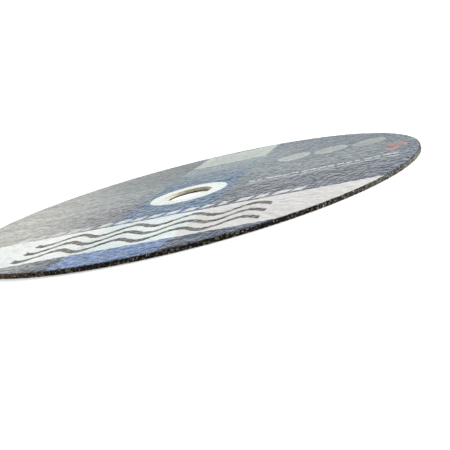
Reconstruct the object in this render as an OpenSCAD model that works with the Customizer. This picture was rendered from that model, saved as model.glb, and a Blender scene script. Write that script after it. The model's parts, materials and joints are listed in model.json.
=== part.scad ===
// Flat cut-off wheel: a resin-bonded abrasive disc with a printed paper label
// moulded flush into its front face, and a drawn sheet-metal ring that traps the
// label's hole and lines the bore.
// The wheel lies on its back: the origin is the middle of the bore on the back
// face, and +Z runs along the bore towards the label.

/* [Wheel] */
// Outside diameter of the wheel
wheel_d = 230; // [150:1:300]
// Thickness of the wheel, over the label
wheel_t = 2; // [1.6:0.1:3.2]
// Rounding of the two edges of the rim
rim_round = 0.2; // [0.05:0.05:0.5]

/* [Centre ring] */
// Diameter of the arbor bore
bore_d = 22.23; // [16:0.01:25.4]
// Outside diameter of the ring's flange
flange_d = 39.6; // [32:0.1:60]
// Thickness of the ring's sheet metal
sheet_t = 0.3; // [0.2:0.05:0.5]
// Radius of the bend from flange to collar, on the side that shows
bend_r = 0.6; // [0.55:0.05:0.9]
// Bare abrasive left in the bore under the collar
collar_gap = 0.4; // [0.2:0.05:0.6]

/* [Label] */
// Thickness of the label's paper
label_t = 0.15; // [0.1:0.01:0.3]
// Bare abrasive between the label and the rim
label_margin = 0.6; // [0.6:0.1:6]
// How far the paper runs in under the ring's flange
label_lap = 3; // [1:0.5:6]

/* [Hidden] */
wheel_r = wheel_d / 2;
bore_r = bore_d / 2;
flange_r = flange_d / 2;
label_outer_r = wheel_r - label_margin;
label_hole_r = flange_r - label_lap;
flange_under = wheel_t - sheet_t;
$fn = 360;

// Sections are drawn with X as the radius and Y as the height, then revolved.

// What a rounding of radius r takes off a corner that points to +X and +Y
module corner_cut(r) {
    difference() {
        square(r);
        circle(r);
    }
}

// Whole wheel from bore to rim, with every corner that is rounded
module wheel_section() {
    difference() {
        translate([bore_r, 0])
            square([wheel_r - bore_r, wheel_t]);
        translate([wheel_r - rim_round, wheel_t - rim_round])
            corner_cut(rim_round);
        translate([wheel_r - rim_round, rim_round])
            mirror([0, 1])
                corner_cut(rim_round);
        translate([bore_r + bend_r, wheel_t - bend_r])
            mirror([1, 0])
                corner_cut(bend_r);
    }
}

// Drawn ring: flat flange, bend, and a collar down into the bore
module ring_section() {
    translate([bore_r + bend_r, flange_under])
        square([flange_r - bore_r - bend_r, sheet_t]);
    intersection() {
        translate([bore_r + bend_r, wheel_t - bend_r])
            difference() {
                circle(bend_r);
                circle(bend_r - sheet_t);
            }
        translate([bore_r, wheel_t - bend_r])
            square(bend_r);
    }
    translate([bore_r, collar_gap])
        square([sheet_t, wheel_t - bend_r - collar_gap]);
}

// Paper flush with the front face, stepped down at the flange and trapped under it
module label_section() {
    translate([flange_r, wheel_t - label_t])
        square([label_outer_r - flange_r, label_t]);
    translate([flange_r, flange_under - label_t])
        square([label_t, sheet_t + label_t]);
    translate([label_hole_r, flange_under - label_t])
        square([label_lap, label_t]);
}

// Abrasive that the mould presses round the ring and under the label
module abrasive_section() {
    difference() {
        wheel_section();
        ring_section();
        label_section();
    }
}

module abrasive_body() {
    color("#2b2724")
        rotate_extrude()
            abrasive_section();
}

module paper_label() {
    color("#7f8797")
        rotate_extrude()
            label_section();
}

module centre_ring() {
    color("#dfe4e2")
        rotate_extrude()
            ring_section();
}

abrasive_body();
paper_label();
centre_ring();
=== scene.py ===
# %% [markdown]
# # A cut-off wheel: grit, print and metal on fixed solids
# The wheel is a thin disc of abrasive grain in cured resin. A printed paper label is pressed flush
# into its front face, and a drawn metal ring lines its bore. The solids come ready made and never
# move, so this lesson only dresses them. Everything sits in the solids' own frame: the bore runs
# along Z, the label faces up, and the label's white band lies on the -Y side.

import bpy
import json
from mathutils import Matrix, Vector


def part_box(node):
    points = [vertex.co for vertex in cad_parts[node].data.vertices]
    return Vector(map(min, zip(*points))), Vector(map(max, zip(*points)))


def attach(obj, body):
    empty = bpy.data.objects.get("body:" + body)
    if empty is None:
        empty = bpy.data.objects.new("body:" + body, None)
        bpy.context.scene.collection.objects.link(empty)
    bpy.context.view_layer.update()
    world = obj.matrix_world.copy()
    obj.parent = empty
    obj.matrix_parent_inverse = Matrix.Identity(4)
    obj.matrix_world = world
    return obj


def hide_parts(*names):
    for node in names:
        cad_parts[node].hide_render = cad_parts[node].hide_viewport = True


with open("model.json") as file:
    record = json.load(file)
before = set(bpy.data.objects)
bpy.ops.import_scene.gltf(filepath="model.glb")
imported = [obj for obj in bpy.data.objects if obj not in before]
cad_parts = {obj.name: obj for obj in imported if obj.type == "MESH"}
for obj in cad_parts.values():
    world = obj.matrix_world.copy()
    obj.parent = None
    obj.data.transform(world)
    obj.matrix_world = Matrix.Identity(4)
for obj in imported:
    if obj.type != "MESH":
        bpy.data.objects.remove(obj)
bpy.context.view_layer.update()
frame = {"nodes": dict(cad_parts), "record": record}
print("solids:", sorted(frame["nodes"]))

# %% [markdown]
# ## Sizes
# A piece that stands for a solid has to keep its form, so its sizes are read from the solids and
# from the record. Only the sheet, the paper, its lap under the flange and the rim's rounding can't
# be read there, and they are written here. Shapes are worked out in millimetres, because a wheel
# maker thinks in millimetres, and turned into Blender's metres when a mesh is filled.

# %% Read the sizes from the frame
import json
import math

import bpy
import numpy as np
from mathutils import Matrix

MM = 0.001
body_low, body_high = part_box("abrasive_body")
label_low, label_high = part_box("paper_label")
ring_low, ring_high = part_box("centre_ring")
bore_mount = next(m for m in frame["record"]["mounts"] if m["name"] == "arbor_bore")

wheel_r = body_high.x / MM
wheel_t = body_high.z / MM
label_r = label_high.x / MM
flange_r = ring_high.x / MM
collar_low = ring_low.z / MM
bore_r = bore_mount["dims"]["r_mm"]
bend_r = wheel_t - bore_mount["dims"]["length_mm"]
paper_t = 0.15
sheet_t = 0.3
rim_round = 0.2
label_lap = 3.0
flange_under = wheel_t - sheet_t
lap_low = label_low.z / MM
print(f"wheel {2 * wheel_r:.1f} x {wheel_t:.2f} mm")
print(f"bore {2 * bore_r:.2f} mm, flange {2 * flange_r:.1f} mm")

# %% [markdown]
# ## The camera
# The picture is taken from close by and from just above the face, so the wheel is seen as a thin
# blade and its near rim as a wall of grit. A camera can be aimed with a constraint, but three small
# turns after it looks at the middle of the face say the same thing in numbers: pan, tilt and roll.

# %% Place the camera
view_azimuth = 20.9
view_elevation = 9.09
view_distance = 438.8 * MM
pan, tilt, roll = 1.77, -2.59, -14.58
focal_px = 879.2
image_px = 450
sensor_mm = 36.0


def turned(first, second, degrees):
    """Turns the first direction towards the second, and the second with it, in their common plane."""
    c, s = math.cos(math.radians(degrees)), math.sin(math.radians(degrees))
    return c * first + s * second, c * second - s * first


def direction(azimuth, elevation):
    """Unit vector from the wheel towards a place at that azimuth, from -Y towards +X, and elevation."""
    a, e = math.radians(azimuth), math.radians(elevation)
    return np.array([math.sin(a) * math.cos(e), -math.cos(a) * math.cos(e), math.sin(e)])


face_middle = np.array([0.0, 0.0, wheel_t * MM])
back = direction(view_azimuth, view_elevation)
ahead = -back
right = np.cross(ahead, [0.0, 0.0, 1.0])
right = right / np.linalg.norm(right)
up = np.cross(right, ahead)
ahead, right = turned(ahead, right, pan)
ahead, up = turned(ahead, up, tilt)
right, up = turned(right, up, roll)

camera_data = bpy.data.cameras.new("photo_camera")
camera_data.sensor_width = sensor_mm
camera_data.lens = focal_px / image_px * sensor_mm
camera_data.clip_start = 0.01
camera = bpy.data.objects.new("photo_camera", camera_data)
camera_place = np.eye(4)
camera_place[:3] = np.column_stack([right, up, -ahead, face_middle + view_distance * back])
camera.matrix_world = Matrix(camera_place.tolist())
bpy.context.scene.collection.objects.link(camera)
bpy.context.scene.camera = camera
print(f"lens {camera_data.lens:.1f} mm at {view_distance:.3f} m")

# %% [markdown]
# ## Skins of rings
# All three pieces are turned about the bore, so each is a stack of rings zipped into one closed
# skin. A plain screw or spin gives every ring the same number of points, which crowds the middle
# and starves the rim. Here each ring has as many points as its own length needs, and neighbours are
# zipped whatever their counts are. The work is done on whole arrays, so 90,000 points take no time.

# %% Rings zipped into a closed skin


def zip_rings(n, m):
    """Triangles between a ring of n points and the next one, of m points.
    Each edge of a ring takes the point of the other ring that lies the same share of a turn along, so
    the strip has n + m triangles. Points of the second ring are numbered after those of the first."""
    edge_n = (np.arange(n) + 0.5) / n
    edge_m = (np.arange(m) + 0.5) / m
    apex_m = n + np.searchsorted(edge_m, edge_n, side="left") % m
    apex_n = np.searchsorted(edge_n, edge_m, side="right") % n
    along_n = np.column_stack([np.arange(n), (np.arange(n) + 1) % n, apex_m])
    along_m = np.column_stack([n + (np.arange(m) + 1) % m, n + np.arange(m), apex_n])
    return along_n, along_m


def closed_skin(ring_counts):
    """Triangles of a skin whose rings follow each other, with the last one zipped to the first.
    Rings run counter-clockwise seen from above, so a section that goes out along the bottom, up the
    rim and in along the top has its faces outwards."""
    starts = np.concatenate([[0], np.cumsum(ring_counts)])
    total = starts[-1]
    strips = []
    for i, n in enumerate(ring_counts):
        m = ring_counts[(i + 1) % len(ring_counts)]
        next_start = starts[(i + 1) % len(ring_counts)]
        for strip in zip_rings(n, m):
            strips.append(np.where(strip < n, strip + starts[i], strip - n + next_start))
    return np.concatenate(strips) % total


def piece_from_arrays(name, points_mm, triangles, smooth):
    """Fills a new mesh object from an array of points in millimetres and an array of triangles."""
    mesh = bpy.data.meshes.new(name)
    mesh.from_pydata(points_mm * MM, [], triangles)
    mesh.polygons.foreach_set("use_smooth", np.full(len(triangles), smooth))
    mesh.update()
    piece = bpy.data.objects.new(name, mesh)
    bpy.context.scene.collection.objects.link(piece)
    print(f"{name}: {len(points_mm)} points, {len(triangles)} triangles")
    return piece


print("a ring of 5 zipped to a ring of 7:", sum(map(len, zip_rings(5, 7))), "triangles")

# %% Sections made of straight runs and arcs


def run(start, end, step):
    """Points from start towards end, about a step apart, without the end itself."""
    start, end = np.array(start), np.array(end)
    pieces = max(1, round(float(np.linalg.norm(end - start)) / step))
    return start + (end - start) * (np.arange(pieces) / pieces)[:, None]


def arc(centre, radius, first, last, pieces):
    """Points of an arc from the first angle towards the last, in degrees, without the last itself."""
    angle = np.radians(first + (last - first) * np.arange(pieces) / pieces)
    return np.array(centre) + radius * np.column_stack([np.cos(angle), np.sin(angle)])


def spread_round(section, ring_counts):
    """Radius, height, angle and ring number of every point when each point of a section of radii and
    heights becomes a ring of its own count of points, evenly spread over the turn."""
    ring = np.repeat(np.arange(len(section)), ring_counts)
    angle = np.concatenate([np.arange(n) * (2 * math.pi / n) for n in ring_counts])
    return section[ring, 0], section[ring, 1], angle, ring


def to_points(radius, height, angle):
    """Cylindrical to straight coordinates: x = r cos a, y = r sin a, z = h."""
    return np.column_stack([radius * np.cos(angle), radius * np.sin(angle), height])


fewest_points = 48


def ring_count(radius, spacing):
    """Whole numbers of points that stand about a spacing apart on rings of these radii."""
    return np.maximum(fewest_points, np.round(2 * math.pi * radius / spacing)).astype(int)


print("section of a rim corner:", arc((0, 0), rim_round, 0, 90, 3).round(3).tolist())

# %% [markdown]
# ## The abrasive body
# The rim is a broken-looking wall of grains about half a millimetre across, and its outline is
# ragged even from a step away. A bump map can't roughen an outline, so the grains are real: the rim
# is divided into a jittered lattice and each point sinks to the tilted facet of the nearest grain.
# The back shows the weave of the glass net that is cured into it, as shallow hollows between cords.

# %% Grains of the rim
grain_mm = 0.62
grain_depth = 0.28
deepest_share = 1.4
grain_tilt = 0.35
grain_crown = 0.5


def grit_depth(around, across, turn_length, seed):
    """How far each point lies below the wheel's true form, in millimetres.
    The strip is cut into cells one grain wide, each cell holds one grain at a random place, and a
    point takes the nearest grain's own depth, plus its tilt times the way from the grain's middle,
    plus the grain's crown times the square of that way."""
    rng = np.random.default_rng(seed)
    cells_around = round(turn_length / grain_mm)
    cells_across = int(across.max() / grain_mm) + 3
    shape = (cells_around, cells_across)
    middle = rng.uniform(0.1, 0.9, (2, *shape))
    depth = rng.uniform(0.0, 1.0, shape) ** 1.5
    lean = rng.normal(0.0, grain_tilt, (2, *shape))
    u = around / turn_length * cells_around
    v = across / grain_mm + 1
    nearest = np.full(len(u), np.inf)
    found = np.zeros(len(u))
    for du in (-1, 0, 1):
        for dv in (-1, 0, 1):
            i = np.floor(u).astype(int) + du
            j = np.clip(np.floor(v).astype(int) + dv, 0, cells_across - 1)
            w = i % cells_around
            to_u = u - (i + middle[0][w, j])
            to_v = v - (j + middle[1][w, j])
            far = to_u**2 + to_v**2
            facet = depth[w, j] + lean[0][w, j] * to_u + lean[1][w, j] * to_v + grain_crown * far
            found = np.where(far < nearest, facet, found)
            nearest = np.minimum(far, nearest)
    return grain_depth * np.clip(found, 0.0, deepest_share)


print(f"about {2 * math.pi * wheel_r / grain_mm:.0f} grains round the rim")

# %% Weave of the back
net_pitch = 5.0
net_sink = 0.16
back_rough = 0.05


def net_depth(x, y):
    """Depth of the back between the cords of the net, in millimetres: the lesser of the sizes of two
    sines, one along each direction, so it is nothing on a cord and most in the middle of a mesh."""
    off_cord_x = np.abs(np.sin(math.pi * x / net_pitch))
    off_cord_y = np.abs(np.sin(math.pi * y / net_pitch))
    return net_sink * np.minimum(off_cord_x, off_cord_y)


print(f"cords {net_pitch} mm apart, meshes {net_sink} mm deep")

# %% Section of the body
rim_step = 0.24
back_step = 1.15
hidden_step = 4.0
collar_step = 0.5
bore_step = 0.2
rim_zone = 1.2
rim_low = wheel_r - rim_round
rim_high = wheel_t - rim_round
bend_middle = (bore_r + bend_r, wheel_t - bend_r)
recess = wheel_t - paper_t

back_run = run((bore_r, 0), (wheel_r - rim_zone, 0), back_step)
rim_run = np.concatenate([
    run((wheel_r - rim_zone, 0), (rim_low, 0), rim_step),
    arc((rim_low, rim_round), rim_round, -90, 0, 2),
    run((wheel_r, rim_round), (wheel_r, rim_high), rim_step),
    arc((rim_low, rim_high), rim_round, 0, 90, 2),
    run((rim_low, wheel_t), (label_r, wheel_t), rim_step),
    run((label_r, wheel_t), (label_r, recess), paper_t),
])
hidden_run = np.concatenate([
    run((label_r, recess), (flange_r + paper_t, recess), hidden_step),
    run((flange_r + paper_t, recess), (flange_r + paper_t, lap_low), sheet_t),
    run((flange_r + paper_t, lap_low), (flange_r - label_lap, lap_low), hidden_step),
    run((flange_r - label_lap, lap_low), (flange_r - label_lap, flange_under), paper_t),
    run((flange_r - label_lap, flange_under), (bend_middle[0], flange_under), hidden_step),
    arc(bend_middle, bend_r - sheet_t, 90, 180, 4),
    run((bore_r + sheet_t, bend_middle[1]), (bore_r + sheet_t, collar_low), collar_step),
    run((bore_r + sheet_t, collar_low), (bore_r, collar_low), sheet_t),
    run((bore_r, collar_low), (bore_r, 0), bore_step),
])
body_section = np.concatenate([back_run, rim_run, hidden_run])
body_counts = np.concatenate([
    ring_count(back_run[:, 0], back_step),
    np.full(len(rim_run), ring_count(wheel_r, rim_step)),
    ring_count(hidden_run[:, 0], hidden_step),
])
print("body rings:", len(back_run), "back,", len(rim_run), "rim,", len(hidden_run), "hidden")

# %% Sink the points and fill the body
radius, height, angle, ring = spread_round(body_section, body_counts)
tangent = np.gradient(body_section, axis=0)
tangent = tangent / np.linalg.norm(tangent, axis=1)[:, None]
out_r, out_z = tangent[ring, 1], -tangent[ring, 0]
step_length = np.linalg.norm(np.diff(body_section, axis=0, prepend=body_section[:1]), axis=1)
travel = np.cumsum(step_length)
on_rim = (ring >= len(back_run)) & (ring < len(back_run) + len(rim_run))
on_back = (ring > 0) & (ring < len(back_run))

sink = np.zeros(len(radius))
sink[on_rim] = grit_depth(
    angle[on_rim] * wheel_r,
    travel[ring[on_rim]] - travel[len(back_run)],
    2 * math.pi * wheel_r,
    seed=11,
)
back_grain = np.random.default_rng(12).uniform(0.0, back_rough, on_back.sum())
back_xy = to_points(radius, height, angle)[on_back]
sink[on_back] = net_depth(back_xy[:, 0], back_xy[:, 1]) + back_grain
radius = radius - out_r * sink
height = height - out_z * sink

body_triangles = closed_skin(body_counts)
rim_faces = on_rim[body_triangles].all(axis=1)
body = piece_from_arrays("gritty_body", to_points(radius, height, angle), body_triangles, ~rim_faces)
print(f"grit sinks {sink[on_rim].mean():.3f} mm on average, {sink[on_rim].max():.3f} mm at most")

# %% [markdown]
# ## The paper label
# The paper is pressed on to the grain while the resin is soft, so the whole face is knobbly like
# leather, and at a low angle that relief is what makes the print shimmer. A bump map would leave the
# outline and the exported mesh flat, so the relief is modelled: points stand two thirds of a
# millimetre apart, lumps of two sizes lift them together, and each is a small knob or dip of its
# own. The paper is pressed deepest beyond the white band, and less under the band's thick white and
# towards the far side. Places are jittered, because knobs in neat circles would show the rings that
# they were made on. The relief is also kept as an attribute of the mesh, for the inks to read.

# %% Relief of the paper
knob_step = 0.67
knob_height = 0.03
knob_jitter = 0.27
lump_sizes = (1.7, 0.9)
small_share = 0.8
lump_height = 0.12
swell_height = 0.03
deepest_dip = 0.1
flange_calm = 2.0
edge_rag = 0.12
press_from = (-96.0, -90.0, -52.0, -46.0, 60.0)
press_share = (1.6, 0.75, 0.75, 1.0, 0.7)


def lumps(x, y, size, seed):
    """Smooth lumps from -1 to 1: a lattice of random heights one size apart, with each point taking
    the mean of its four corners, weighted by an S-curve of its place between them."""
    table = np.random.default_rng(seed).uniform(-1.0, 1.0, (256, 256))
    u, v = x / size, y / size
    i, j = np.floor(u).astype(int), np.floor(v).astype(int)
    s, t = u - i, v - j
    s, t = s * s * (3 - 2 * s), t * t * (3 - 2 * t)
    near = (1 - s) * table[i % 256, j % 256] + s * table[(i + 1) % 256, j % 256]
    far = (1 - s) * table[i % 256, (j + 1) % 256] + s * table[(i + 1) % 256, (j + 1) % 256]
    return (1 - t) * near + t * far


def swell(x, y, seed):
    """A slow unevenness of the face, about -1 to 1: one and a half times the mean of a few long waves
    in random directions."""
    rng = np.random.default_rng(seed)
    waves = 7
    heading = rng.uniform(0.0, 2 * math.pi, waves)
    length = rng.uniform(18.0, 60.0, waves)
    phase = rng.uniform(0.0, 2 * math.pi, waves)
    along = np.outer(x, np.cos(heading)) + np.outer(y, np.sin(heading))
    return np.sin(2 * math.pi * along / length + phase).mean(axis=1) * 1.5


print(f"knobs every {knob_step} mm on lumps of {lump_sizes[0]} and {lump_sizes[1]} mm")

# %% Section of the label, from the hole under the flange out to the rim and back
paper_under = np.concatenate([
    run((flange_r - label_lap, lap_low), (flange_r + paper_t, lap_low), hidden_step),
    run((flange_r + paper_t, lap_low), (flange_r + paper_t, recess), sheet_t),
    run((flange_r + paper_t, recess), (label_r, recess), hidden_step),
])
paper_face = run((label_r, wheel_t), (flange_r, wheel_t), knob_step)
paper_lap = np.concatenate([
    run((flange_r, wheel_t), (flange_r, flange_under), sheet_t),
    run((flange_r, flange_under), (flange_r - label_lap, flange_under), hidden_step),
    [(flange_r - label_lap, flange_under)],
])
label_section = np.concatenate([paper_under, paper_face, paper_lap])
label_counts = np.concatenate([
    ring_count(paper_under[:, 0], hidden_step),
    ring_count(paper_face[:, 0], knob_step),
    ring_count(paper_lap[:, 0], hidden_step),
])
print("label rings:", len(label_section))

# %% Raise the knobs and fill the label
radius, height, angle, ring = spread_round(label_section, label_counts)
face_ring = ring - len(paper_under)
on_face = (face_ring > 0) & (face_ring < len(paper_face))
rng = np.random.default_rng(21)
radius = radius + on_face * rng.uniform(-knob_jitter, knob_jitter, len(radius)) * knob_step
angle = angle + on_face * rng.uniform(-knob_jitter, knob_jitter, len(angle)) * knob_step / radius
off_flange = np.clip((radius - flange_r) / flange_calm, 0.0, 1.0)
face_x, face_y = radius * np.cos(angle), radius * np.sin(angle)
large = lumps(face_x, face_y, lump_sizes[0], seed=23)
small = lumps(face_x, face_y, lump_sizes[1], seed=24)
own = rng.uniform(-1.0, 1.0, len(radius))
slow = swell_height * swell(face_x, face_y, seed=22)
press = np.interp(face_y, press_from, press_share)
knobs = press * (lump_height * (large + small_share * small) + knob_height * own)
height = height + on_face * off_flange * np.maximum(knobs + slow, -deepest_dip)
ragged_edge = (face_ring == 0) * rng.uniform(0.0, edge_rag, len(radius))
label = piece_from_arrays(
    "printed_label", to_points(radius - ragged_edge, height, angle), closed_skin(label_counts), True
)
relief = label.data.attributes.new("relief", "FLOAT", "POINT")
relief.data.foreach_set("value", knobs / lump_height)
print(f"paper relief {np.ptp(height[on_face]):.3f} mm from dip to knob")

# %% [markdown]
# ## The centre ring
# The ring is drawn from thin tinplate: a flat flange, a bend, and a collar down into the bore. A
# Bevel modifier on a plain ring would round all its edges alike. As a turned section, the bend keeps
# its own radius and the burrs get theirs.

# %% Section of the ring
burr = 0.08
ring_points = 400
under_step = 1.0
flange_step = 0.5
lining_step = 0.1
collar_back_step = 0.2
collar_out = bore_r + sheet_t
ring_section = np.concatenate([
    run((bend_middle[0], flange_under), (flange_r - burr, flange_under), under_step),
    arc((flange_r - burr, flange_under + burr), burr, -90, 0, 3),
    arc((flange_r - burr, wheel_t - burr), burr, 0, 90, 3),
    run((flange_r - burr, wheel_t), (bend_middle[0], wheel_t), flange_step),
    arc(bend_middle, bend_r, 90, 180, 10),
    run((bore_r, bend_middle[1]), (bore_r, collar_low + burr), lining_step),
    arc((bore_r + burr, collar_low + burr), burr, 180, 270, 3),
    arc((collar_out - burr, collar_low + burr), burr, 270, 360, 3),
    run((collar_out, collar_low + burr), (collar_out, bend_middle[1]), collar_back_step),
    arc(bend_middle, bend_r - sheet_t, 180, 90, 6),
])
ring_counts = np.full(len(ring_section), ring_points)
radius, height, angle, ring = spread_round(ring_section, ring_counts)
centre_ring = piece_from_arrays(
    "pressed_ring", to_points(radius, height, angle), closed_skin(ring_counts), True
)
print("ring section points:", len(ring_section))

# %% [markdown]
# ## Small words for node trees
# A material is a tree of nodes, and wiring each one by hand hides the idea. These few helpers let a
# recipe read like a sentence: a position in millimetres, a number made of numbers, a soft noise, one
# colour laid over another. Object coordinates keep a pattern fixed to its piece.

# %% Helpers for node trees


def new_tree(name):
    """A new material and its node tree, emptied."""
    material = bpy.data.materials.new(name)
    material.use_nodes = True
    material.node_tree.nodes.clear()
    return material, material.node_tree


def add(tree, kind, inputs=None, **settings):
    """Adds a node, sets its properties, and fills or links its inputs by name or by number."""
    node = tree.nodes.new("ShaderNode" + kind)
    for name, value in settings.items():
        setattr(node, name, value)
    for key, value in (inputs or {}).items():
        if isinstance(value, bpy.types.NodeSocket):
            tree.links.new(value, node.inputs[key])
        else:
            node.inputs[key].default_value = value
    return node


def maths(tree, operation, *values):
    """One number worked out from others."""
    return add(tree, "Math", dict(enumerate(values)), operation=operation).outputs[0]


def remap(tree, value, low, high, to_low=0.0, to_high=1.0, shape="SMOOTHSTEP"):
    """A number carried from one range into another, and held at its ends."""
    ranges = {0: value, 1: low, 2: high, 3: to_low, 4: to_high}
    return add(tree, "MapRange", ranges, interpolation_type=shape).outputs[0]


def lay_over(tree, below, above, cover):
    """A colour laid over another where the cover is 1."""
    sockets = {0: cover, 6: below, 7: above}
    return add(tree, "Mix", sockets, data_type="RGBA").outputs[2]


def position_mm(tree):
    """The place on the piece as a vector in millimetres, and its three numbers."""
    place = add(tree, "TexCoord").outputs["Object"]
    scaled = add(tree, "VectorMath", {0: place, 1: (1 / MM,) * 3}, operation="MULTIPLY").outputs[0]
    parts = add(tree, "SeparateXYZ", {0: scaled}).outputs
    return scaled, parts[0], parts[1], parts[2]


def noise(tree, place, size_mm, detail=2.0, rough=0.5):
    """Soft cloudy noise from 0 to 1 whose lumps are about that size."""
    inputs = {"Vector": place, "Scale": 1 / size_mm, "Detail": detail, "Roughness": rough}
    return add(tree, "TexNoise", inputs).outputs["Fac"]


def cells(tree, place, size_mm, feature="F1"):
    """Cells about that size: the way to the nearest cell's middle, and each cell's random colour."""
    found = add(tree, "TexVoronoi", {"Vector": place, "Scale": 1 / size_mm}, feature=feature)
    return found.outputs["Distance"], found.outputs["Color"]


def reach_from(tree, x, y, middle):
    """The way from a middle, seen from above: the root of the sum of two squares."""
    across = maths(tree, "POWER", maths(tree, "SUBTRACT", x, middle[0]), 2)
    along = maths(tree, "POWER", maths(tree, "SUBTRACT", y, middle[1]), 2)
    return maths(tree, "SQRT", maths(tree, "ADD", across, along))


def finish_tree(tree, shader):
    """Sends a shader to the material's output, and counts the nodes."""
    add(tree, "OutputMaterial", {"Surface": shader})
    return len(tree.nodes)


print("node helpers ready in Blender", bpy.app.version_string)

# %% [markdown]
# ## Grit and resin
# Grains of fused alumina sit in black-brown resin. Most are coated and dull, some are broken open and
# tan, and the rim is rusty on one side and paler grey on the other, where dust and painted light from
# the right both lighten it, while fewer broken grains there are a painted shade that holds that end
# back. An image of grit would repeat, so cells stand for the grains: of a quarter, of a half and of
# almost a whole millimetre, and a noise bends the larger ones. Each cell's random colour is read as
# three chances, which pick its tone and its gloss. On the back a paler brown follows the cords of the
# glass net. A sheen stands for the finest dust, which shows most where the surface turns away.

# %% Tones of the grit
resin_dark = (0.0026, 0.0018, 0.0012, 1)
grain_brown = (0.017, 0.010, 0.005, 1)
grain_olive = (0.024, 0.016, 0.01, 1)
grain_tan = (0.50, 0.46, 0.375, 1)
cord_brown = (0.16, 0.13, 0.088, 1)
grain_rust = (0.15, 0.078, 0.026, 1)
dust_and_light_grey = (0.155, 0.161, 0.131, 1)
sheen_grey = (1.0, 1.0, 0.93, 1)
print("grit runs from", resin_dark[:3], "to", grain_tan[:3])

# %% Grains as cells
grain_cell = 0.5
chip_cell = 0.25
clump_cell = 0.85
bend_size = 0.4

grit_material, tree = new_tree("grit_and_resin")
place, x_mm, y_mm, z_mm = position_mm(tree)
bend = add(tree, "VectorMath", {0: noise(tree, place, bend_size, 2.0), 1: (0.5,) * 3}).outputs[0]
ragged = add(tree, "VectorMath", {0: place, 1: bend}).outputs[0]
grain_way, grain_colour = cells(tree, ragged, grain_cell)
_, chip_colour = cells(tree, place, chip_cell)
_, clump_colour = cells(tree, ragged, clump_cell)
chance = add(tree, "SeparateColor", {0: grain_colour}).outputs
chip = add(tree, "SeparateColor", {0: chip_colour}).outputs
clump = add(tree, "SeparateColor", {0: clump_colour}).outputs
fines = noise(tree, place, chip_cell, 3.0, 0.6)

tone = lay_over(tree, resin_dark, grain_brown, remap(tree, chance[0], 0.35, 0.95))
tone = lay_over(tree, tone, grain_brown, remap(tree, chip[0], 0.7, 1.0, 0.0, 0.8))
tone = lay_over(tree, tone, grain_olive, remap(tree, chance[2], 0.6, 0.85, 0.0, 0.6))
open_grain = remap(tree, chance[1], 0.86, 0.94)
broken = maths(tree, "MULTIPLY", open_grain, remap(tree, chip[1], 0.4, 0.65))
tone = lay_over(tree, tone, grain_tan, broken)
# Fewer grains split open towards +X: a painted shade on the end of the rim that the low lamp lights.
split_cover = remap(tree, x_mm, 30.0, 90.0, 0.34, 0.08)
split = maths(tree, "MULTIPLY", remap(tree, clump[1], 0.86, 0.91), split_cover)
tone = lay_over(tree, tone, grain_tan, split)
tone = lay_over(tree, tone, resin_dark, remap(tree, fines, 0.45, 0.75, 0.0, 0.6))
print("grains take", len(tree.nodes), "nodes")

# %% Rust, dust and painted light on the rim, cords on the back
from_bore = add(tree, "VectorMath", {0: place}, operation="LENGTH").outputs["Value"]
at_rim = remap(tree, from_bore, wheel_r - 4.0, wheel_r - 1.0)
patchy = maths(tree, "MULTIPLY", at_rim, remap(tree, clump[2], 0.25, 0.75, 0.08, 0.95))
rusty = maths(tree, "MULTIPLY", remap(tree, x_mm, -15.0, -70.0), patchy)
tone = lay_over(tree, tone, grain_rust, rusty)
# Towards +X the rim turns paler grey: dust, and also painted light from that side.
dust_and_light = maths(tree, "MULTIPLY", remap(tree, x_mm, 78.0, 115.0), patchy)
tone = lay_over(tree, tone, dust_and_light_grey, dust_and_light)

beside_x = maths(tree, "PINGPONG", x_mm, net_pitch / 2)
beside_y = maths(tree, "PINGPONG", y_mm, net_pitch / 2)
off_cord = maths(tree, "MINIMUM", beside_x, beside_y)
wavy = maths(tree, "ADD", off_cord, remap(tree, fines, 0.3, 0.7, -0.25, 0.25))
on_back_face = remap(tree, z_mm, 0.2, 0.1, 0.0, 0.65)
cord = maths(tree, "MULTIPLY", remap(tree, wavy, 0.85, 0.35), on_back_face)
tone = lay_over(tree, tone, cord_brown, cord)
print("with rust, dust and cords", len(tree.nodes), "nodes")

# %% Gloss of the grit
gloss = remap(tree, chance[2], 0.0, 1.0, 0.75, 0.3)
facets = maths(tree, "ADD", maths(tree, "MULTIPLY", grain_way, -0.6), fines)
bump = add(tree, "Bump", {"Strength": 0.8, "Distance": 0.15 * MM, "Height": facets}).outputs[0]
shader = add(tree, "BsdfPrincipled", {
    "Base Color": tone,
    "Roughness": gloss,
    "Normal": bump,
    "Specular IOR Level": 0.1,
    "Sheen Weight": 0.35,
    "Sheen Roughness": 0.3,
    "Sheen Tint": sheen_grey,
})
print("grit nodes:", finish_tree(tree, shader.outputs[0]))

# %% [markdown]
# ## The print
# The label is printed in flat inks on white paper: a grey ground, a blue stripe through the bore, a
# white band across it, and small plain marks. A painted image blurs up close. Here each field is a
# product of numbers that are 1 between two edges and 0 outside, so an edge stays sharp at any
# distance. Dashes come from a coordinate that is cut into equal lengths with a share of each one
# filled, and waves from the same cut through a coordinate that a sine moves up and down.

# %% Fields on the label
ink_edge = 0.12


def past(tree, value, edge):
    """1 where a value is past an edge, with an ink edge's softness."""
    return remap(tree, value, edge - ink_edge, edge + ink_edge)


def between(tree, value, low, high):
    """1 where a value lies between two edges."""
    return maths(tree, "SUBTRACT", past(tree, value, low), past(tree, value, high))


def field(tree, x, y, box):
    """1 inside a box of left, right, low and high edges, in millimetres."""
    left, right_edge, low, high = box
    return maths(tree, "MULTIPLY", between(tree, x, left, right_edge), between(tree, y, low, high))


def disc(tree, x, y, middle, size):
    """1 inside a round field of that radius."""
    return maths(tree, "SUBTRACT", 1.0, past(tree, reach_from(tree, x, y, middle), size))


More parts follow.
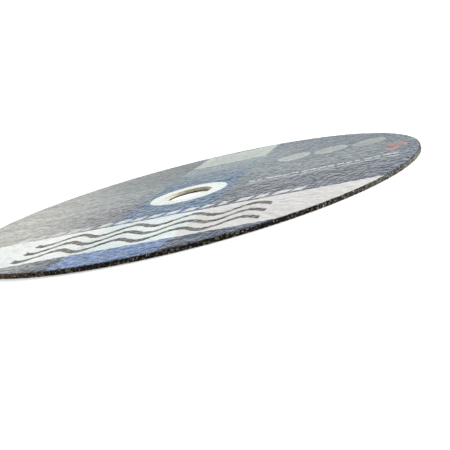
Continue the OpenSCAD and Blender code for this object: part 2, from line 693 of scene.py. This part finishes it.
def bars(tree, x, y, box, pitch, fill, spread=0.0):
    """1 on a row of bars inside a box. The row is cut into pitches along x, and the filled share of
    each pitch is fill, give or take at most half of the spread, by chance."""
    left = box[0]
    along = maths(tree, "DIVIDE", maths(tree, "SUBTRACT", x, left), pitch)
    number = maths(tree, "FLOOR", along)
    chance = add(tree, "TexWhiteNoise", {"W": number}, noise_dimensions="1D").outputs["Value"]
    share = remap(tree, chance, 0.0, 1.0, fill - spread / 2, fill + spread / 2, "LINEAR")
    inside = maths(tree, "LESS_THAN", maths(tree, "FRACT", along), share)
    return maths(tree, "MULTIPLY", inside, field(tree, x, y, box))


stripe_half = 23.5
band_box = (-wheel_r, wheel_r, -92.5, -48.0)
print("band is", band_box[3] - band_box[2], "mm wide, stripe", 2 * stripe_half, "mm")

# %% [markdown]
# ## Inks
# No ink lies evenly. The ground grows paler far off and on the left and darker towards its edges, and
# the stripe fades away from the band, so each runs slowly from one ink into the next. These runs are
# partly print and partly painted light: the paler far side and left are painted sheen of the paper
# seen at a low angle, and the darker edges and a patch far on the left are painted shade. Ink also
# pools in the dips of the paper and sits thin on its knobs, so the dips are darker and the knobs
# lighter, and that is also painted shade and highlight on the relief. The label carries the height of
# its relief as an attribute, and the inks read it there, so the print and the shape agree.

# %% Ink colours
# Several of these inks carry painted light: the pale far, left and band-left tones are partly painted
# sheen, and the edge and shade tones are partly painted shade.
paper_white = (0.632, 0.624, 0.612, 1)
paper_left_sheen = (0.828, 0.873, 0.838, 1)
ice_blue = (0.715, 0.808, 0.80, 1)
ground_near = (0.088, 0.110, 0.156, 1)
ground_middle = (0.098, 0.118, 0.146, 1)
ground_far = (0.154, 0.202, 0.223, 1)
ground_left_print_and_sheen = (0.385, 0.390, 0.348, 1)
ground_edge = (0.048, 0.078, 0.118, 1)
ground_shade = (0.06, 0.07, 0.068, 1)
stripe_near = (0.152, 0.235, 0.412, 1)
stripe_middle = (0.045, 0.116, 0.210, 1)
stripe_far = (0.207, 0.263, 0.262, 1)
print("stripe runs from", stripe_near[:3], "to", stripe_far[:3])

# %% Ground
print_material, tree = new_tree("printed_paper")
place, x_mm, y_mm, _ = position_mm(tree)
# Dark near, paler far off: partly a printed fade and partly painted sheen of the paper at a low angle.
ground = lay_over(tree, ground_near, ground_middle, remap(tree, y_mm, -90.0, -40.0))
ground = lay_over(tree, ground, ground_far, remap(tree, y_mm, -20.0, 30.0))

# Paler towards the left: partly a printed fade and partly painted sheen.
at_left = remap(tree, x_mm, -22.0, -100.0, shape="LINEAR")
at_left = maths(tree, "MULTIPLY", at_left, remap(tree, y_mm, -25.0, 15.0, 1.6, 1.0))
at_left = maths(tree, "MULTIPLY", at_left, remap(tree, y_mm, 35.0, 75.0, 1.0, 0.6))
ground = lay_over(tree, ground, ground_left_print_and_sheen, at_left)

# Darker towards the right and far edges: partly print and partly painted shade.
to_corner = maths(tree, "ADD", x_mm, y_mm)
right_edge = remap(tree, x_mm, 85.0, 112.0, 0.0, 0.5)
far_edge = remap(tree, to_corner, 88.0, 150.0, 0.0, 0.6)
ground = lay_over(tree, ground, ground_edge, maths(tree, "MAXIMUM", right_edge, far_edge))

# Painted shade: a darker patch on the ground far on the left, beside the stripe.
beside_stripe = remap(tree, x_mm, 10.0, -30.0)
far_left_painted_shade = maths(tree, "MULTIPLY", beside_stripe, remap(tree, x_mm, -100.0, -35.0))
far_left_painted_shade = maths(tree, "MULTIPLY", far_left_painted_shade, remap(tree, y_mm, 20.0, 75.0, 0.0, 0.52))
ground = lay_over(tree, ground, ground_shade, far_left_painted_shade)
print("ground takes", len(tree.nodes), "nodes")

# %% Stripe, pooled ink and band
ink_pool_and_shade, ink_thin_and_highlight = 0.78, 1.24

stripe = between(tree, x_mm, -stripe_half, stripe_half)
# The stripe pales away from the band: half a printed fade and half painted sheen.
stripe_ink = lay_over(tree, stripe_near, stripe_middle, remap(tree, y_mm, -95.0, -20.0))
stripe_ink = lay_over(tree, stripe_ink, stripe_far, remap(tree, y_mm, 10.0, 85.0))
ink = lay_over(tree, ground, stripe_ink, stripe)

# Darker ink in the dips and lighter on the knobs: ink pooling, and also painted shade and highlight on
# the relief.
on_knob = add(tree, "Attribute", attribute_name="relief").outputs["Fac"]
fibre = noise(tree, place, 0.35, 2.0, 0.6)
uneven = maths(tree, "ADD", on_knob, remap(tree, fibre, 0.3, 0.7, -0.25, 0.25))
uneven = remap(tree, uneven, -1.1, 1.1, ink_pool_and_shade, ink_thin_and_highlight)
stretched = add(tree, "CombineXYZ", {0: maths(tree, "MULTIPLY", x_mm, 0.12), 1: y_mm}).outputs[0]
rubbed = remap(tree, noise(tree, stretched, 9.0, 2.0), 0.3, 0.7, 0.86, 1.16)
uneven = maths(tree, "MULTIPLY", uneven, rubbed)
ink = add(tree, "VectorMath", {0: ink, "Scale": uneven}, operation="SCALE").outputs[0]

band = field(tree, x_mm, y_mm, band_box)
# Painted sheen: the white band grows brighter towards the left.
paper = lay_over(tree, paper_white, paper_left_sheen, remap(tree, x_mm, 60.0, -40.0))
ink = lay_over(tree, ink, lay_over(tree, paper, ice_blue, stripe), band)
print("ground, stripe and band take", len(tree.nodes), "nodes")

# %% [markdown]
# ## Small marks
# The rest of the print is small: waves on the band, slanted dashes beside it, thin lines, blocks and
# discs. They could be meshes laid on the paper, but ink has no thickness. Each is one line of a list
# with its box in millimetres and its ink, and a loop lays them on in turn.

# %% Marks on the label
bar_grey = (0.075, 0.073, 0.060, 1)
pale_grey = (0.45, 0.495, 0.458, 1)
block_grey = (0.398, 0.444, 0.404, 1)
disc_greys = [(0.405, 0.446, 0.426, 1), (0.337, 0.372, 0.355, 1), (0.257, 0.288, 0.27, 1)]
faint_grey = (0.215, 0.25, 0.27, 1)
soft_white = (0.36, 0.365, 0.34, 1)
dash_grey = (0.47, 0.51, 0.52, 1)
mark_red = (0.315, 0.122, 0.117, 1)
mark_pink = (0.33, 0.19, 0.19, 1)

wave_height = 4.5
wave_length = 28.0
slant = 0.35
turns = maths(tree, "MULTIPLY", x_mm, 2 * math.pi / wave_length)
waved = maths(tree, "ADD", y_mm, maths(tree, "MULTIPLY", maths(tree, "SINE", turns), wave_height))
sheared = maths(tree, "SUBTRACT", x_mm, maths(tree, "MULTIPLY", y_mm, slant))
marks = [
    (bars(tree, waved, x_mm, (-85.0, -53.0, -54.0, 58.0), 11.5, 0.42), bar_grey),
    (bars(tree, sheared, y_mm, (-58.0, 84.0, -45.0, -39.5), 8.5, 0.62, 0.4), paper_white),
    (bars(tree, x_mm, y_mm, (32.0, 106.0, -1.8, 0.8), 4.4, 0.7, 0.5), dash_grey),
    (field(tree, x_mm, y_mm, (32.0, 106.0, -7.0, -5.8)), pale_grey),
    (bars(tree, x_mm, y_mm, (34.0, 92.0, 12.0, 14.5), 7.0, 0.7, 0.5), faint_grey),
    (bars(tree, x_mm, y_mm, (34.0, 92.0, 20.0, 22.5), 7.0, 0.7, 0.5), faint_grey),
    (bars(tree, x_mm, y_mm, (-108.0, -80.0, 19.0, 25.0), 9.0, 0.65, 0.5), soft_white),
    (field(tree, x_mm, y_mm, (-22.0, 22.0, 76.0, 110.0)), pale_grey),
    (field(tree, x_mm, y_mm, (-16.5, 16.5, 81.0, 105.0)), block_grey),
    (field(tree, x_mm, y_mm, (98.0, 107.0, 19.0, 27.5)), mark_red),
    (field(tree, x_mm, y_mm, (97.5, 104.5, 10.5, 16.0)), mark_pink),
]
for u, grey in zip((45.0, 65.2, 85.4), disc_greys):
    inner_grey = tuple(0.9 * part for part in grey[:3]) + (1,)
    marks.append((disc(tree, x_mm, y_mm, (u, 48.5), 9.0), grey))
    marks.append((disc(tree, x_mm, y_mm, (u, 48.5), 6.3), inner_grey))
for cover, colour in marks:
    ink = lay_over(tree, ink, colour, cover)
print("marks:", len(marks))

# %% [markdown]
# ## Gloss of the paper
# The paper is coated, and at a low angle its gloss is what shows the relief. The roughness is low,
# changes a little from place to place and rises towards the far side, where the face looks calmer.
# A slight bump adds what is finer than the knobs of the mesh, and a few specks of grit lie on it.

# %% Specks, clouds and gloss
cloud = noise(tree, place, 38.0, 2.0)
mottle = noise(tree, place, 2.2, 3.0, 0.6)
speck_way, speck_colour = cells(tree, place, 3.5)
speck_chance = add(tree, "SeparateColor", {0: speck_colour}).outputs[0]
speck = maths(tree, "MULTIPLY", remap(tree, speck_way, 0.1, 0.04), past(tree, speck_chance, 0.9))
ink = lay_over(tree, ink, bar_grey, speck)
cloudy = remap(tree, cloud, 0.3, 0.7, 0.92, 1.06)
shade = maths(tree, "ADD", cloudy, remap(tree, mottle, 0.3, 0.7, -0.05, 0.05))
tinted = add(tree, "VectorMath", {0: ink, "Scale": shade}, operation="SCALE").outputs[0]
knob_way, _ = cells(tree, place, 0.95, "SMOOTH_F1")
pimples = maths(tree, "MULTIPLY", knob_way, -1.0)
skin = maths(tree, "ADD", pimples, maths(tree, "MULTIPLY", fibre, 0.25))
bump = add(tree, "Bump", {"Strength": 0.4, "Distance": 0.04 * MM, "Height": skin}).outputs[0]
matt_side = remap(tree, y_mm, -30.0, 60.0, 0.0, 0.1)
shader = add(tree, "BsdfPrincipled", {
    "Base Color": tinted,
    "Roughness": maths(tree, "ADD", remap(tree, mottle, 0.3, 0.7, 0.08, 0.14), matt_side),
    "Normal": bump,
    "Specular IOR Level": 0.11,
})
print("print nodes:", finish_tree(tree, shader.outputs[0]))

# %% [markdown]
# ## Tinplate
# The ring is bright tin on steel. Its flange is so pale that it takes the colour of the room, while
# the collar in the bore is stained tan by resin that ran up it. One material does both: the stain
# covers what lies close to the bore's axis, and a noise that ignores height gives it a ragged edge
# and light and dark streaks that run down the bore. The streaks are partly stain and partly a painted
# reflection of the bore's metal wall, where the stain reaches over the bend it is also painted shade
# of the bend, and the collar's foot is painted darker as shade at the foot of the bore. Tin as dull
# as this is almost as white as paint, so it is only slightly metallic, and soft dents and scuffs keep
# it from looking like plastic; the dents are also darkened, a painted shade in their hollows.

# %% Material of the ring
tin_bright = (0.905, 0.985, 0.94, 1)
tin_worn_and_shaded = (0.79, 0.84, 0.81, 1)
resin_tan = (0.47, 0.42, 0.31, 1)
resin_brown = (0.29, 0.24, 0.16, 1)
bore_foot_shade = (0.035, 0.024, 0.014, 1)

tin_material, tree = new_tree("tinplate")
place, x_mm, y_mm, z_mm = position_mm(tree)
reach = reach_from(tree, x_mm, y_mm, (0.0, 0.0))
level = add(tree, "CombineXYZ", {0: x_mm, 1: y_mm}).outputs[0]
# Streaks down the bore: stain, and also a painted reflection of its metal wall.
stain_and_reflection_streak = noise(tree, level, 1.6, 3.0, 0.6)
scuff = noise(tree, place, 1.5, 3.0, 0.6)
ragged_reach = maths(tree, "ADD", reach, remap(tree, stain_and_reflection_streak, 0.3, 0.7, -0.3, 0.3))
# The stain reaches over the bend, and there it is also painted shade of the bend.
in_bore = remap(tree, ragged_reach, bore_r + 1.1, bore_r + 0.5)
stain = lay_over(tree, resin_tan, resin_brown, remap(tree, stain_and_reflection_streak, 0.45, 0.75))
# Darker towards the foot of the collar: a painted shade at the foot of the bore.
stain = lay_over(tree, stain, bore_foot_shade, remap(tree, z_mm, 0.75, 0.5))
metal = lay_over(tree, tin_bright, tin_worn_and_shaded, remap(tree, scuff, 0.5, 0.8))
metal = lay_over(tree, metal, stain, in_bore)
dents = noise(tree, place, 9.0, 1.0)
# Scuffs are wear; darker in the dents is a painted shade in their hollows.
metal = lay_over(tree, metal, tin_worn_and_shaded, remap(tree, dents, 0.5, 0.3, 0.0, 0.5))
bumpy = maths(tree, "ADD", maths(tree, "MULTIPLY", scuff, 0.02), dents)
bump = add(tree, "Bump", {"Strength": 0.5, "Distance": 0.2 * MM, "Height": bumpy}).outputs[0]
shader = add(tree, "BsdfPrincipled", {
    "Base Color": metal,
    "Metallic": remap(tree, in_bore, 0.0, 1.0, 0.2, 0.05),
    "Roughness": remap(tree, scuff, 0.3, 0.7, 0.2, 0.32),
    "Normal": bump,
})
print("tin nodes:", finish_tree(tree, shader.outputs[0]))

# %% [markdown]
# ## The room
# The wheel lies on white paper in a white tent. The tent is the world itself, at full white for what
# the camera sees and lower for what lights matt surfaces, so that lamps can add some direction without
# washing colours out. Gloss sees a white horizon and a darker roof, and that difference brings out the
# relief of the paper. The floor adds a little glow for the rays of the camera and of the gloss, which
# keeps it white while the wheel's own shadow still shows on it, and further off it is plain white.

# %% White tent
tent_light = 0.60
roof_rise = (0.1, 0.34)
roof_white = 0.12


def seen_directly(tree):
    """1 for rays that the camera, a gloss or a glass sends, and 0 for the rest."""
    rays = add(tree, "LightPath").outputs
    seen = maths(tree, "MAXIMUM", rays["Is Camera Ray"], rays["Is Glossy Ray"])
    return maths(tree, "MAXIMUM", seen, rays["Is Transmission Ray"])


world = bpy.data.worlds.new("white_tent")
world.use_nodes = True
tree = world.node_tree
tree.nodes.clear()
rise = add(tree, "SeparateXYZ", {0: add(tree, "TexCoord").outputs["Generated"]}).outputs[2]
roof = remap(tree, rise, *roof_rise, 1.0, roof_white)
glossy_ray = add(tree, "LightPath").outputs["Is Glossy Ray"]
in_gloss = remap(tree, glossy_ray, 0.0, 1.0, 1.0, roof, "LINEAR")
strength = remap(tree, seen_directly(tree), 0.0, 1.0, tent_light, 1.0, "LINEAR")
strength = maths(tree, "MULTIPLY", strength, in_gloss)
sky = add(tree, "Background", {"Color": (1, 1, 1, 1), "Strength": strength})
add(tree, "OutputWorld", {"Surface": sky.outputs[0]})
bpy.context.scene.world = world
print("tent lights matt surfaces at", tent_light)

# %% White floor
floor_white = (0.90, 0.90, 0.90, 1)
floor_glow = 0.22
floor_fade = (0.25, 0.9)
floor_half = 20.0
floor_drop = 0.02 * MM

floor_material, tree = new_tree("floor_paper")
seen = seen_directly(tree)
matt = add(tree, "BsdfDiffuse", {"Color": floor_white}).outputs[0]
glow_strength = maths(tree, "MULTIPLY", seen, floor_glow)
glow = add(tree, "Emission", {"Color": (1, 1, 1, 1), "Strength": glow_strength}).outputs[0]
by_the_wheel = add(tree, "AddShader", {0: matt, 1: glow}).outputs[0]
far_off = add(tree, "Emission", {"Color": (1, 1, 1, 1), "Strength": 1.0}).outputs[0]
place = add(tree, "TexCoord").outputs["Object"]
from_bore = add(tree, "VectorMath", {0: place}, operation="LENGTH").outputs["Value"]
fade = maths(tree, "MULTIPLY", seen, remap(tree, from_bore, *floor_fade))
finish_tree(tree, add(tree, "MixShader", {0: fade, 1: by_the_wheel, 2: far_off}).outputs[0])

corners = np.array([(-1, -1), (1, -1), (1, 1), (-1, 1)]) * floor_half
floor_mesh = bpy.data.meshes.new("floor")
floor_mesh.from_pydata(np.column_stack([corners, np.full(4, -floor_drop)]), [], [(0, 1, 2, 3)])
floor_mesh.materials.append(floor_material)
floor = bpy.data.objects.new("floor", floor_mesh)
bpy.context.scene.collection.objects.link(floor)
print("floor", 2 * floor_half, "m square")

# %% [markdown]
# ## Lamps
# Two wide lamps stand for windows behind the wheel: a weak one on the left, and a strong, low one on
# the right that rakes over the face and lights one end of the rim. They are kept out of the gloss,
# because the paper would show their outlines.

# %% Soft lamps


def soft_lamp(name, azimuth, elevation, distance, width, height, light):
    """A flat lamp that looks at the wheel. Light is the share of full white that it gives a matt
    white surface that faces it, so its power is that share times pi squared times distance squared."""
    data = bpy.data.lights.new(name, "AREA")
    data.shape = "RECTANGLE"
    data.size = width
    data.size_y = height
    data.energy = light * (math.pi * distance) ** 2
    lamp = bpy.data.objects.new(name, data)
    away = direction(azimuth, elevation)
    side = np.cross([0.0, 0.0, 1.0], away)
    side = side / np.linalg.norm(side)
    place = np.eye(4)
    place[:3] = np.column_stack([side, np.cross(away, side), away, away * distance])
    lamp.matrix_world = Matrix(place.tolist())
    lamp.visible_glossy = False
    bpy.context.scene.collection.objects.link(lamp)
    print(f"{name}: {data.energy:.1f} W")


lamp_distance = 1.6
soft_lamp("window_lamp", 245.0, 22.0, lamp_distance, width=1.0, height=1.0, light=0.25)
soft_lamp("side_lamp", 122.0, 12.0, lamp_distance, width=1.4, height=1.2, light=2.95)

# %% [markdown]
# ## Hand the pieces over
# Each new piece rides on the wheel's only body and stands for its solid, which then isn't shown.

# %% Ride, replace and finish
bpy.context.scene.view_settings.view_transform = "Standard"
dressed = [
    (body, grit_material, "abrasive_body", "abrasive"),
    (label, print_material, "paper_label", "label_paper"),
    (centre_ring, tin_material, "centre_ring", "ring_tinplate"),
]
for piece, material, solid, slot in dressed:
    piece.data.materials.append(material)
    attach(piece, "root")
    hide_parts(solid)
